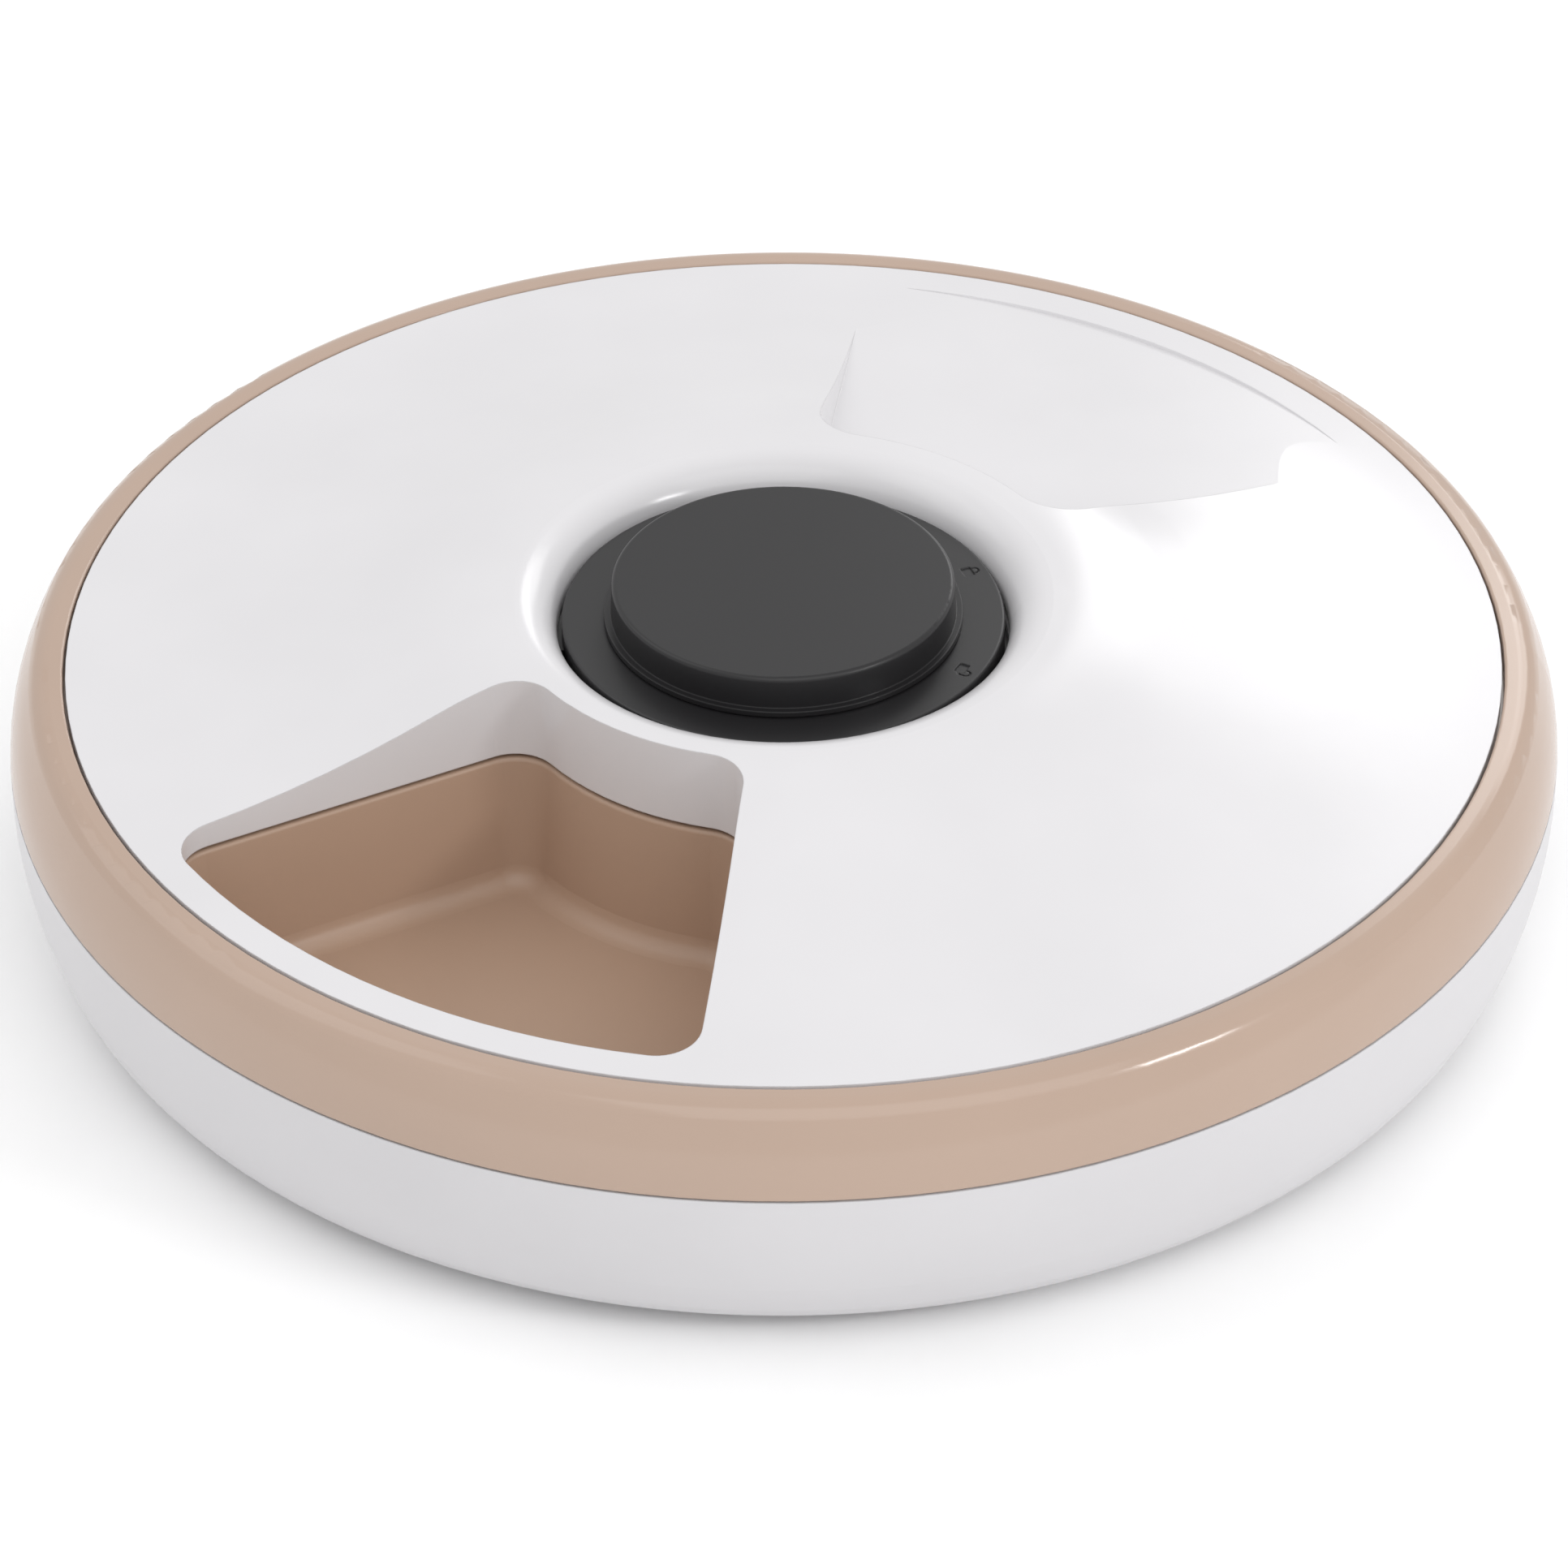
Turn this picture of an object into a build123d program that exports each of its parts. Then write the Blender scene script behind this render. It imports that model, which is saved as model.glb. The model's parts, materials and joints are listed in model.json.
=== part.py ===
from build123d import *
import math
import os

# Rotary pet feeder with six covered meal compartments.
# Millimetres, +Z up, origin on the table under the middle of the base, front of the feeder towards -Y.

# ---- driving dimensions ----
OUTER_R = 160.0                 # widest radius of the feeder
FOOT_H = 2.0                    # rubber feet stand this far below the base
LID_PLANE = 60.5                # height of the lid's flat outer edge
MEALS = 6                       # compartments in the tray
WALL = 2.2                      # usual moulded wall
GAP = 0.3                       # clearance between parts that move past each other

LID_R = 147.75                  # lid edge
LID_GAP = 0.6                   # joint line between lid and ring
LID_DOME_R = 240.0              # hollow curve that rises from the lid edge
LID_DOME_TURN = 16.6            # degrees turned by that curve
LID_CREST_R = 55.5              # crest of the dome around the hub
LID_LIP_R = 9.0                 # curve from the crest down into the hub opening
HUB_OPENING_R = LID_CREST_R - LID_LIP_R            # opening in the middle of the lid
SKIRT_BOTTOM = LID_PLANE - 4.9  # lower edge of the chute around the window

WINDOW_AZIMUTH = -124.4         # direction of the window's middle line, degrees from +X
WINDOW_ANGLE = 54.8             # angle between the window's sides
WINDOW_OUTER_R = 140.4
WINDOW_INNER_R = 58.4
WINDOW_CORNER_R = 9.0
RECESS_AZIMUTH = WINDOW_AZIMUTH + 180
RECESS_DEPTH = 0.7              # depth of the shallow recess at its outer edge
RECESS_SLOPE = 4.0              # degrees that its floor rises towards the hub
RECESS_DRAFT = 14.0

SEAM_Z = LID_PLANE - 18.5       # joint line between ring and base
SEAM_GAP = 0.5
RING_SHOULDER_R = 34.0          # large curve of the ring's outer face
RING_EDGE_R = 5.0               # small curve at the ring's top edge
RING_TURN = 30.0                # degrees between them
LEDGE_Z = LID_PLANE - 3.3       # ledge in the ring that carries the lid
LEDGE_R = 145.6

BASE_FLOOR = 4.6                # top of the base's bottom wall
BASE_WALL = 2.8
BASE_ARCS = [(66.0, 18.0), (40.0, 30.0), (15.0, 90.0)]   # side's curves: radius, angle where it ends
FOOT_R = 7.0
FOOT_CIRCLE_R = 125.0
FOOT_COUNT = 4

TRAY_TOP = SKIRT_BOTTOM - 1.1
TRAY_R = 144.4
TRAY_FLOOR = LID_PLANE - 35.5   # floor of the compartments
TRAY_DRAFT = 5.0
TRAY_BORE_R = 56.0
FLOOR_FILLET = 4.6
LIP_FILLET = 0.9
TRACK_R = 118.0                 # circle where the rollers carry the tray
TRACK_WIDTH = 11.0

GEAR_MODULE = 1.5
RING_TEETH = 72
PINION_TEETH = 18
PRESSURE_ANGLE = 20.0
GEAR_BOTTOM = 24.0
GEAR_TOP = 30.0
BACKLASH = 0.3
PINION_Y = GEAR_MODULE * (RING_TEETH - PINION_TEETH) / 2
SHAFT_R = 1.5

DECK_TOP = 20.4
DECK_THICK = 2.0
DECK_R = 151.0
DECK_SCREW_R = 138.0            # circle of the screws that hold the deck
TOWER_TOP = 12.0                # where the base's screw towers meet the deck's bosses
COLUMN_R = 50.0
COLUMN_TOP = 57.2
ROLLER_R = 5.0
ROLLER_W = 6.0
ROLLER_ANGLES = [30, 150, 270]
ROLLER_Z = TRAY_FLOOR - WALL - GAP - ROLLER_R

DISC_R = 45.6                  # black disc around the cap
DISC_TOP = LID_PLANE + 8.14
DISC_THICK = 2.0
CAP_R = 35.24
CAP_TOP = LID_PLANE + 16.7
CAP_FLANGE_R = 36.9
CAP_DRAFT = 2.0
TWIST = 50.0                    # turn of the cap between its two marks
LUGS = 3
LUG_ANGLE = 16.0
LUG_TIP_R = 48.4
LOCK_Z = LID_PLANE + 2.1        # underside of the locking ring
LOCK_THICK = 1.9
POST_IN_R = 31.2
POST_OUT_R = 32.7
POST_ANGLE = 10.0

BOARD_Z = 59.2                  # underside of the circuit board
BOARD_THICK = 1.6
BOARD_R = 29.4
PANEL_BOSS_R = 25.0             # circle of the screws that hold the panel
BUTTON_R = 3.6
BUTTON_X = [-16.5, -5.5, 5.5, 16.5]
BUTTON_Y = -12.0
BUTTON_NAMES = ["button_clock", "button_meal", "button_up", "button_down"]
BUTTON_TRAVEL = 1.2
DISPLAY = (34.0, 18.0)
DISPLAY_Y = 7.0

CELL_R = 7.1                    # AA cell
CELL_LEN = 50.5
CELL_PITCH = 14.6
CELL_COUNT = 4
CELL_ROOM = 3.5                 # room for a contact at each end
SCREW_R = 1.5
SCREW_PLAY = 0.2                # passage of a screw is wider by this
MERGE = 0.4                     # pieces of one moulding run this far into each other
RIM_FILLET = 0.5                # small rounding on moulded rims

os.makedirs("parts", exist_ok=True)
finished = []


def save(builder, name):
    """Label a finished piece and write it as one STEP file."""
    builder.part.label = name
    export_step(builder.part, f"parts/{name}.step")
    finished.append(name)


def polar(radius, angle):
    """Point at a radius and an angle in degrees from +X."""
    return (radius * math.cos(math.radians(angle)), radius * math.sin(math.radians(angle)))


def sector_outline(inner_r, outer_r, angle, azimuth, corner_r=0.0, inset=0.0):
    """Add a ring sector to the open sketch, drawn in on every side by inset, with rounded corners."""
    inner_r, outer_r = inner_r + inset, outer_r - inset

    def corner(radius, side):
        half_angle = angle / 2 - math.degrees(math.asin(inset / radius))
        return polar(radius, azimuth + side * half_angle)

    with BuildLine() as outline:
        ThreePointArc(corner(outer_r, -1), polar(outer_r, azimuth), corner(outer_r, 1))
        Line(corner(outer_r, 1), corner(inner_r, 1))
        ThreePointArc(corner(inner_r, 1), polar(inner_r, azimuth), corner(inner_r, -1))
        Line(corner(inner_r, -1), corner(outer_r, -1))
    face = make_face(outline.edges())
    if corner_r:
        fillet(face.vertices(), corner_r - inset)


def involute(base_r, radius):
    """Angle in radians that an involute has turned when it reaches a radius."""
    lean = math.acos(min(1.0, base_r / radius))
    return math.tan(lean) - lean


def gear_points(teeth, tip_r, root_r, widen):
    """Corner points of an external gear with a tooth on +Y; each tooth is wider by widen."""
    pitch_r = GEAR_MODULE * teeth / 2
    base_r = pitch_r * math.cos(math.radians(PRESSURE_ANGLE))
    half_tooth = (math.pi * GEAR_MODULE / 2 + widen) / 2 / pitch_r
    flank_steps = 4
    start_r = max(base_r, root_r)
    flank = [start_r + (tip_r - start_r) * step / flank_steps for step in range(flank_steps + 1)]
    half_angles = [half_tooth + involute(base_r, pitch_r) - involute(base_r, radius) for radius in flank]
    if start_r > root_r:
        flank.insert(0, root_r)
        half_angles.insert(0, half_angles[0])
    points = []
    for tooth in range(teeth):
        middle = math.pi / 2 + 2 * math.pi * tooth / teeth
        sides = [(radius, middle - half) for radius, half in zip(flank, half_angles)]
        sides += [(radius, middle + half) for radius, half in zip(reversed(flank), reversed(half_angles))]
        points += [(radius * math.cos(angle), radius * math.sin(angle)) for radius, angle in sides]
    return points


# ---- outer profiles, as points of radius and height in the XZ plane ----
def arc_end(start, radius, from_angle, to_angle):
    """End and middle point of an arc whose outward normal turns between two angles."""
    centre_r = start[0] - radius * math.cos(math.radians(from_angle))
    centre_z = start[1] - radius * math.sin(math.radians(from_angle))

    def at(angle):
        turn = math.radians(angle)
        return (centre_r + radius * math.cos(turn), centre_z + radius * math.sin(turn))

    return at((from_angle + to_angle) / 2), at(to_angle)


ring_shoulder_z = LID_PLANE - RING_EDGE_R * 0.5 - RING_SHOULDER_R * 0.5
ring_seam_turn = math.degrees(math.asin((SEAM_Z - ring_shoulder_z) / RING_SHOULDER_R))
ring_seam = arc_end((OUTER_R, ring_shoulder_z), RING_SHOULDER_R, 0, ring_seam_turn)[1]
ring_mid_low, ring_turn = arc_end(ring_seam, RING_SHOULDER_R, ring_seam_turn, RING_TURN)
ring_mid_high, ring_crown = arc_end(ring_turn, RING_EDGE_R, RING_TURN, 90)

# the base's side curves in below this height and ends level with the top of the feet
base_side_z = FOOT_H
start_angle = 0.0
for arc_radius, end_angle in BASE_ARCS:
    base_side_z += arc_radius * (math.sin(math.radians(end_angle)) - math.sin(math.radians(start_angle)))
    start_angle = end_angle


def bowl_profile(inset, top_z):
    """Add the half section of the base, moved in by inset, to the open sketch."""
    with BuildLine() as outline:
        corner, turned = Vector(OUTER_R - inset, base_side_z), 0.0
        Line((OUTER_R - inset, top_z), corner)
        for arc_radius, end_angle in BASE_ARCS:
            middle, end = arc_end((corner.X, corner.Y), arc_radius - inset, -turned, -end_angle)
            ThreePointArc(corner, middle, end)
            corner, turned = Vector(*end), end_angle
        Polyline(corner, (0, corner.Y), (0, top_z), (OUTER_R - inset, top_z))
    make_face(outline.edges())


def tube(outer_r, inner_r, bottom, top, mode=Mode.ADD):
    """Add a plain ring between two heights to the open part."""
    with BuildSketch(Plane.XY.offset(bottom)) as outline:
        Circle(outer_r)
        if inner_r:
            Circle(inner_r, mode=Mode.SUBTRACT)
    extrude(outline.sketch, amount=top - bottom, mode=mode)


def posts(radius, circle_r, count, bottom, top, start_angle=0.0, mode=Mode.ADD):
    """Add round posts on a circle around the middle to the open part."""
    with BuildSketch(Plane.XY.offset(bottom)) as outline:
        with PolarLocations(circle_r, count, start_angle=start_angle):
            Circle(radius)
    extrude(outline.sketch, amount=top - bottom, mode=mode)


def screws(circle_r, count, head_r, head_z, head_h, tip_z, start_angle=0.0):
    """Add screws with cross recesses; the tip is above or below the head."""
    up = 1 if tip_z > head_z else -1
    head_end = head_z + up * head_h
    posts(head_r, circle_r, count, min(head_z, head_end), max(head_z, head_end), start_angle)
    posts(SCREW_R - 0.05, circle_r, count, min(head_z, tip_z), max(head_z, tip_z), start_angle)
    with BuildSketch(Plane.XY.offset(head_z)) as cross:
        with PolarLocations(circle_r, count, start_angle=start_angle):
            Rectangle(head_r * 1.2, 0.6)
            Rectangle(0.6, head_r * 1.2)
    extrude(cross.sketch, amount=up * 0.9, mode=Mode.SUBTRACT)


# ---- base: bowl, feet, battery compartment ----
BOX_X = CELL_COUNT * CELL_PITCH
BOX_Y = CELL_LEN + 2 * CELL_ROOM
BOX_TOP = BASE_FLOOR + 2 * CELL_R + 1.5
DOOR_REBATE = 1.4
DOOR_SIZE = (BOX_X + 8, BOX_Y + 16)
DOOR_CORNER_R = 4.0
DOOR_SCREW_Y = BOX_Y / 2 + 4.6
DECK_SCREW_HEAD_Z = FOOT_H + 4.0
TONGUE_H = 4.0                  # the ring's tongue reaches this far into the base
TONGUE_LEDGE_H = 2.5
TONGUE_LEDGE_WIDTH = 3.4
TOWER_R = 4.0
DOOR_TOWER_R = 3.2
DOOR_TOWER_TOP = BASE_FLOOR + 6
HEAD_PASSAGE_R = 3.2
ledge_top = SEAM_Z - TONGUE_H - 0.2
base_in_r = OUTER_R - BASE_WALL

with BuildPart() as base_shell:
    with BuildSketch(Plane.XZ):
        bowl_profile(0, SEAM_Z - SEAM_GAP)
    revolve(axis=Axis.Z)
    with BuildSketch(Plane.XZ):
        bowl_profile(BASE_WALL, SEAM_Z)
    revolve(axis=Axis.Z, mode=Mode.SUBTRACT)
    # ledge that the ring's tongue stands on
    tube(base_in_r + MERGE, base_in_r - TONGUE_LEDGE_WIDTH, ledge_top - TONGUE_LEDGE_H, ledge_top)
    # screw towers under the deck and over the battery door's screws
    posts(TOWER_R, DECK_SCREW_R, MEALS, BASE_FLOOR - MERGE, TOWER_TOP)
    posts(DOOR_TOWER_R, DOOR_SCREW_Y, 2, BASE_FLOOR - MERGE, DOOR_TOWER_TOP, 90)
    # battery box, open below
    with BuildSketch(Plane.XY.offset(BASE_FLOOR - MERGE)):
        Rectangle(BOX_X + 2 * WALL, BOX_Y + 2 * WALL)
    extrude(amount=BOX_TOP + WALL - BASE_FLOOR + MERGE)
    with BuildSketch(Plane.XY.offset(FOOT_H)):
        Rectangle(BOX_X, BOX_Y)
    extrude(amount=BOX_TOP - FOOT_H, mode=Mode.SUBTRACT)
    with BuildSketch(Plane.XY.offset(FOOT_H)):
        RectangleRounded(DOOR_SIZE[0], DOOR_SIZE[1], DOOR_CORNER_R)
    extrude(amount=DOOR_REBATE, mode=Mode.SUBTRACT)
    # seats of the feet and screw passages
    posts(FOOT_R + 0.1, FOOT_CIRCLE_R, FOOT_COUNT, FOOT_H, FOOT_H + 1, 45, Mode.SUBTRACT)
    posts(HEAD_PASSAGE_R, DECK_SCREW_R, MEALS, FOOT_H, DECK_SCREW_HEAD_Z + 2.1, 0, Mode.SUBTRACT)
    posts(SCREW_R + SCREW_PLAY, DECK_SCREW_R, MEALS, FOOT_H, TOWER_TOP, 0, Mode.SUBTRACT)
    posts(SCREW_R, DOOR_SCREW_Y, 2, FOOT_H, DOOR_TOWER_TOP - 1, 90, Mode.SUBTRACT)
save(base_shell, "base_shell")

with BuildPart() as rubber_feet:
    posts(FOOT_R, FOOT_CIRCLE_R, FOOT_COUNT, 0, FOOT_H + 1, 45)
    fillet(rubber_feet.edges().group_by(Axis.Z)[0], 0.6)
save(rubber_feet, "rubber_feet")

door_thick = DOOR_REBATE - 0.1
rib_x = BOX_X - 2 * GAP
rib_y = BOX_Y - 2 * GAP
DOOR_RIB_WIDTH = 1.5
DOOR_RIB_H = 1.2
GRIP_LEN = 22.0
GRIP_WIDTH = 1.2
with BuildPart() as battery_door:
    with BuildSketch(Plane.XY.offset(FOOT_H)):
        RectangleRounded(DOOR_SIZE[0] - 2 * GAP, DOOR_SIZE[1] - 2 * GAP, DOOR_CORNER_R - GAP)
    extrude(amount=door_thick)
    # rib that centres the door in the opening
    with BuildSketch(Plane.XY.offset(FOOT_H + door_thick)):
        Rectangle(rib_x, rib_y)
        Rectangle(rib_x - 2 * DOOR_RIB_WIDTH, rib_y - 2 * DOOR_RIB_WIDTH, mode=Mode.SUBTRACT)
    extrude(amount=DOOR_RIB_H)
    # grip grooves
    with BuildSketch(Plane.XY.offset(FOOT_H)):
        with GridLocations(0, 2.5 * GRIP_WIDTH, 1, 5):
            SlotOverall(GRIP_LEN, GRIP_WIDTH)
    extrude(amount=0.5, mode=Mode.SUBTRACT)
    posts(SCREW_R + SCREW_PLAY, DOOR_SCREW_Y, 2, FOOT_H, FOOT_H + DOOR_REBATE, 90, Mode.SUBTRACT)
save(battery_door, "battery_door")

with BuildPart() as door_screws:
    screws(DOOR_SCREW_Y, 2, 2.6, FOOT_H - 1.2, 1.2, BASE_FLOOR + 4, 90)
save(door_screws, "door_screws")

with BuildPart() as deck_screws:
    screws(DECK_SCREW_R, MEALS, 2.8, DECK_SCREW_HEAD_Z, 2.0, DECK_TOP - 2.4)
save(deck_screws, "deck_screws")

# cells lie side by side along Y with their ends turned alternately
cell_x = [CELL_PITCH * (index - (CELL_COUNT - 1) / 2) for index in range(CELL_COUNT)]
CELL_Z = BASE_FLOOR + 0.9 + CELL_R
NUB_LEN = 1.2
NUB_R = 2.7
with BuildPart() as batteries:
    for index, x in enumerate(cell_x):
        way = 1 if index % 2 else -1
        with BuildSketch(Plane.XZ.offset(way * (CELL_LEN / 2 - NUB_LEN))):
            with Locations((x, CELL_Z)):
                Circle(CELL_R)
        extrude(amount=-way * (CELL_LEN - NUB_LEN))
        with BuildSketch(Plane.XZ.offset(way * (CELL_LEN / 2 - NUB_LEN))):
            with Locations((x, CELL_Z)):
                Circle(NUB_R)
        extrude(amount=way * NUB_LEN)
save(batteries, "batteries")

PLATE_THICK = 0.4
PLATE_SIDE = 10.0
plate_y = BOX_Y / 2 - PLATE_THICK / 2
with BuildPart() as contact_plates:
    with Locations(*((x, plate_y, CELL_Z) for x in (-1.5 * CELL_PITCH, 0, 1.5 * CELL_PITCH))):
        Box(PLATE_SIDE, PLATE_THICK, PLATE_SIDE)
    with Locations((-CELL_PITCH, -plate_y, CELL_Z), (CELL_PITCH, -plate_y, CELL_Z)):
        Box(CELL_PITCH + PLATE_SIDE - 1, PLATE_THICK, PLATE_SIDE)
save(contact_plates, "contact_plates")

SPRING_R = 3.2
SPRING_WIRE_R = 0.35
SPRING_PITCH = 0.95
spring_room = BOX_Y / 2 - PLATE_THICK - CELL_LEN / 2
spring_len = spring_room - 2 * SPRING_WIRE_R
with BuildPart() as contact_springs:
    for index, x in enumerate(cell_x):
        way = 1 if index % 2 else -1
        foot = (x, way * (BOX_Y / 2 - PLATE_THICK - SPRING_WIRE_R), CELL_Z)
        with BuildLine() as coil:
            Helix(SPRING_PITCH, spring_len, SPRING_R, center=foot, direction=(0, -way, 0))
        with BuildSketch(Plane(origin=coil.line @ 0, z_dir=coil.line % 0)):
            Circle(SPRING_WIRE_R)
        sweep(path=coil.line, is_frenet=True)
save(contact_springs, "contact_springs")

# ---- beige ring around the top ----
LEDGE_THICK = 2.0
RING_INNER_R = OUTER_R - 5.4
SHELL_THICK = 3.0               # wall beside the lid's pocket
seat_r = LID_R + LID_GAP
tongue_r = OUTER_R - BASE_WALL - GAP
with BuildPart() as upper_ring:
    with BuildSketch(Plane.XZ):
        with BuildLine():
            ThreePointArc(ring_seam, ring_mid_low, ring_turn)
            ThreePointArc(ring_turn, ring_mid_high, ring_crown)
            Polyline(
                ring_crown, (seat_r, LID_PLANE), (seat_r, LEDGE_Z), (LEDGE_R, LEDGE_Z),
                (LEDGE_R, LEDGE_Z - LEDGE_THICK), (LID_R + SHELL_THICK, LEDGE_Z - LEDGE_THICK),
                (RING_INNER_R, SEAM_Z + TONGUE_H), (RING_INNER_R, SEAM_Z - TONGUE_H),
                (tongue_r, SEAM_Z - TONGUE_H), (tongue_r, SEAM_Z), ring_seam,
            )
        make_face()
    revolve(axis=Axis.Z)
    inner_rim = upper_ring.edges().filter_by(GeomType.CIRCLE).filter_by(
        lambda edge: abs(edge.radius - seat_r) < 0.01 and abs(edge.center().Z - LID_PLANE) < 0.01)
    fillet(inner_rim, RIM_FILLET)
save(upper_ring, "upper_ring")

# ---- deck with the middle column ----
COLUMN_IN_R = COLUMN_R - WALL
PLATE_BOTTOM = COLUMN_TOP - WALL
DECK_BOTTOM = DECK_TOP - DECK_THICK
MOTOR_PAD_X = 11.2
MOTOR_PAD_Z = 35.5
MOTOR_PAD_Y = 42.5              # face of the pads that the motor bracket is screwed to
MOTOR_PAD_H = 7.0
MOTOR_PAD_WIDTH = 5.4
RING_REST_OUT_R = 41.0
RING_REST_IN_R = 38.0
BOARD_REST_R = 2.8
BOARD_SCREW_R = 1.0
WIRE_SLOT_Y = -10.0
FORK_H = 7.0
FORK_ARM = 2.5                  # arm on each side of a roller
FORK_LEN = 14.0
SHELF_R = 6.0
PINION_WINDOW = 32.0
BUSH_R = SHAFT_R + 1.1
SENSOR_POCKET = (14, 3, 14)
MAGNET_Z = 41.0                 # height of the tray's magnets and of the sensor
with BuildPart() as hub_deck:
    tube(DECK_R, COLUMN_IN_R, DECK_BOTTOM, DECK_TOP)
    tube(COLUMN_R, COLUMN_IN_R, DECK_BOTTOM, COLUMN_TOP)
    tube(COLUMN_R, 0, PLATE_BOTTOM, COLUMN_TOP)
    # rib that carries the locking ring, and rests for the circuit board
    tube(RING_REST_OUT_R, RING_REST_IN_R, COLUMN_TOP, LOCK_Z - GAP)
    posts(BOARD_REST_R, PANEL_BOSS_R, 3, COLUMN_TOP, BOARD_Z, 90)
    posts(BOARD_SCREW_R, PANEL_BOSS_R, 3, PLATE_BOTTOM, BOARD_Z, 90, Mode.SUBTRACT)
    posts(SCREW_R + SCREW_PLAY, PANEL_BOSS_R, 3, PLATE_BOTTOM, COLUMN_TOP, 30, Mode.SUBTRACT)
    # wire hole
    with BuildSketch(Plane.XY.offset(PLATE_BOTTOM)):
        with Locations((0, WIRE_SLOT_Y)):
            SlotOverall(14, 7)
    extrude(amount=WALL, mode=Mode.SUBTRACT)
    # bosses that meet the screw towers
    posts(TOWER_R, DECK_SCREW_R, MEALS, TOWER_TOP, DECK_BOTTOM)
    posts(SCREW_R, DECK_SCREW_R, MEALS, TOWER_TOP, DECK_TOP - 1.2, 0, Mode.SUBTRACT)
    # forks of the tray rollers
    for angle in ROLLER_ANGLES:
        fork = Plane(origin=(*polar(TRACK_R, angle), DECK_TOP), x_dir=(*polar(1, angle), 0), z_dir=(0, 0, 1))
        with BuildSketch(fork):
            Rectangle(ROLLER_W + 1 + 2 * FORK_ARM, FORK_LEN)
        extrude(amount=-FORK_H)
        with BuildSketch(fork):
            Rectangle(ROLLER_W + 1, 2 * ROLLER_R + 1.4)
        extrude(amount=-FORK_H, mode=Mode.SUBTRACT)
        with BuildSketch(Plane(origin=(*polar(TRACK_R, angle), ROLLER_Z), z_dir=(*polar(1, angle), 0))):
            Circle(SHAFT_R)
        extrude(amount=ROLLER_W / 2 + 2, both=True, mode=Mode.SUBTRACT)
    # shelf with the lower bearing of the drive shaft
    with BuildSketch(Plane.XY.offset(DECK_BOTTOM)):
        with Locations((0, PINION_Y)):
            Circle(SHELF_R)
            Rectangle(2 * SHELF_R, COLUMN_R - PINION_Y, align=(Align.CENTER, Align.MIN))
        Circle(COLUMN_R, mode=Mode.INTERSECT)
        with Locations((0, PINION_Y)):
            Circle(BUSH_R, mode=Mode.SUBTRACT)
    extrude(amount=DECK_THICK)
    # window in the column that the pinion reaches through
    with BuildSketch(Plane.XY.offset(GEAR_BOTTOM - 0.6)):
        with Locations((0, COLUMN_R)):
            Rectangle(PINION_WINDOW, 14)
    extrude(amount=GEAR_TOP - GEAR_BOTTOM + 1.2, mode=Mode.SUBTRACT)
    # pads for the motor bracket
    with BuildSketch(Plane.XY.offset(MOTOR_PAD_Z - MOTOR_PAD_H / 2)):
        with Locations((-MOTOR_PAD_X, MOTOR_PAD_Y), (MOTOR_PAD_X, MOTOR_PAD_Y)):
            Rectangle(MOTOR_PAD_WIDTH, COLUMN_R - MOTOR_PAD_Y, align=(Align.CENTER, Align.MIN))
        Circle(COLUMN_R - 0.5, mode=Mode.INTERSECT)
    extrude(amount=MOTOR_PAD_H)
    with BuildSketch(Plane.XZ.offset(-MOTOR_PAD_Y)):
        with Locations((-MOTOR_PAD_X, MOTOR_PAD_Z), (MOTOR_PAD_X, MOTOR_PAD_Z)):
            Circle(BOARD_SCREW_R)
    extrude(amount=-4, mode=Mode.SUBTRACT)
    # pocket wall for the position sensor
    with Locations((0, -COLUMN_IN_R + 1.1, MAGNET_Z)):
        Box(*SENSOR_POCKET)
save(hub_deck, "hub_deck")

# ---- tray rollers ----
with BuildPart() as roller_axles:
    for angle in ROLLER_ANGLES:
        with BuildSketch(Plane(origin=(*polar(TRACK_R, angle), ROLLER_Z), z_dir=(*polar(1, angle), 0))):
            Circle(SHAFT_R)
        extrude(amount=ROLLER_W / 2 + 2, both=True)
save(roller_axles, "roller_axles")

for number, angle in enumerate(ROLLER_ANGLES, 1):
    with BuildPart() as tray_roller:
        with BuildSketch(Plane(origin=(*polar(TRACK_R, angle), ROLLER_Z), z_dir=(*polar(1, angle), 0))):
            Circle(ROLLER_R)
            Circle(SHAFT_R + 0.06, mode=Mode.SUBTRACT)
        extrude(amount=ROLLER_W / 2, both=True)
        rims = tray_roller.edges().filter_by(GeomType.CIRCLE).group_by(SortBy.RADIUS)[-1]
        fillet(rims, RIM_FILLET)
    save(tray_roller, f"tray_roller_{number}")

# ---- food tray: six cups under one deck, with an internal gear around its bore ----
meal_azimuths = [WINDOW_AZIMUTH + 360 / MEALS * index for index in range(MEALS)]
CUP_DEPTH = TRAY_TOP - TRAY_FLOOR
ring_pitch_r = GEAR_MODULE * RING_TEETH / 2
CUP_CLEARANCE = 0.6             # the cups reach this much further out than the window
RIM_H = 8.0                     # tray's outer rim
ADDENDUM = 0.9 * GEAR_MODULE
DEDENDUM = 1.25 * GEAR_MODULE


def cup(azimuth, grow, mode):
    """Add or cut one tapered compartment, grown by grow on every side, in the open part."""
    sections = []
    floor_inset = CUP_DEPTH * math.tan(math.radians(TRAY_DRAFT))
    for height, drawn_in in ((TRAY_TOP, 0), (TRAY_FLOOR - grow, floor_inset)):
        with BuildSketch(Plane.XY.offset(height)) as section:
            sector_outline(WINDOW_INNER_R, WINDOW_OUTER_R + CUP_CLEARANCE, WINDOW_ANGLE, azimuth,
                           WINDOW_CORNER_R, drawn_in - grow)
        sections.append(section.sketch)
    loft(sections, ruled=True, mode=mode)


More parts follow.
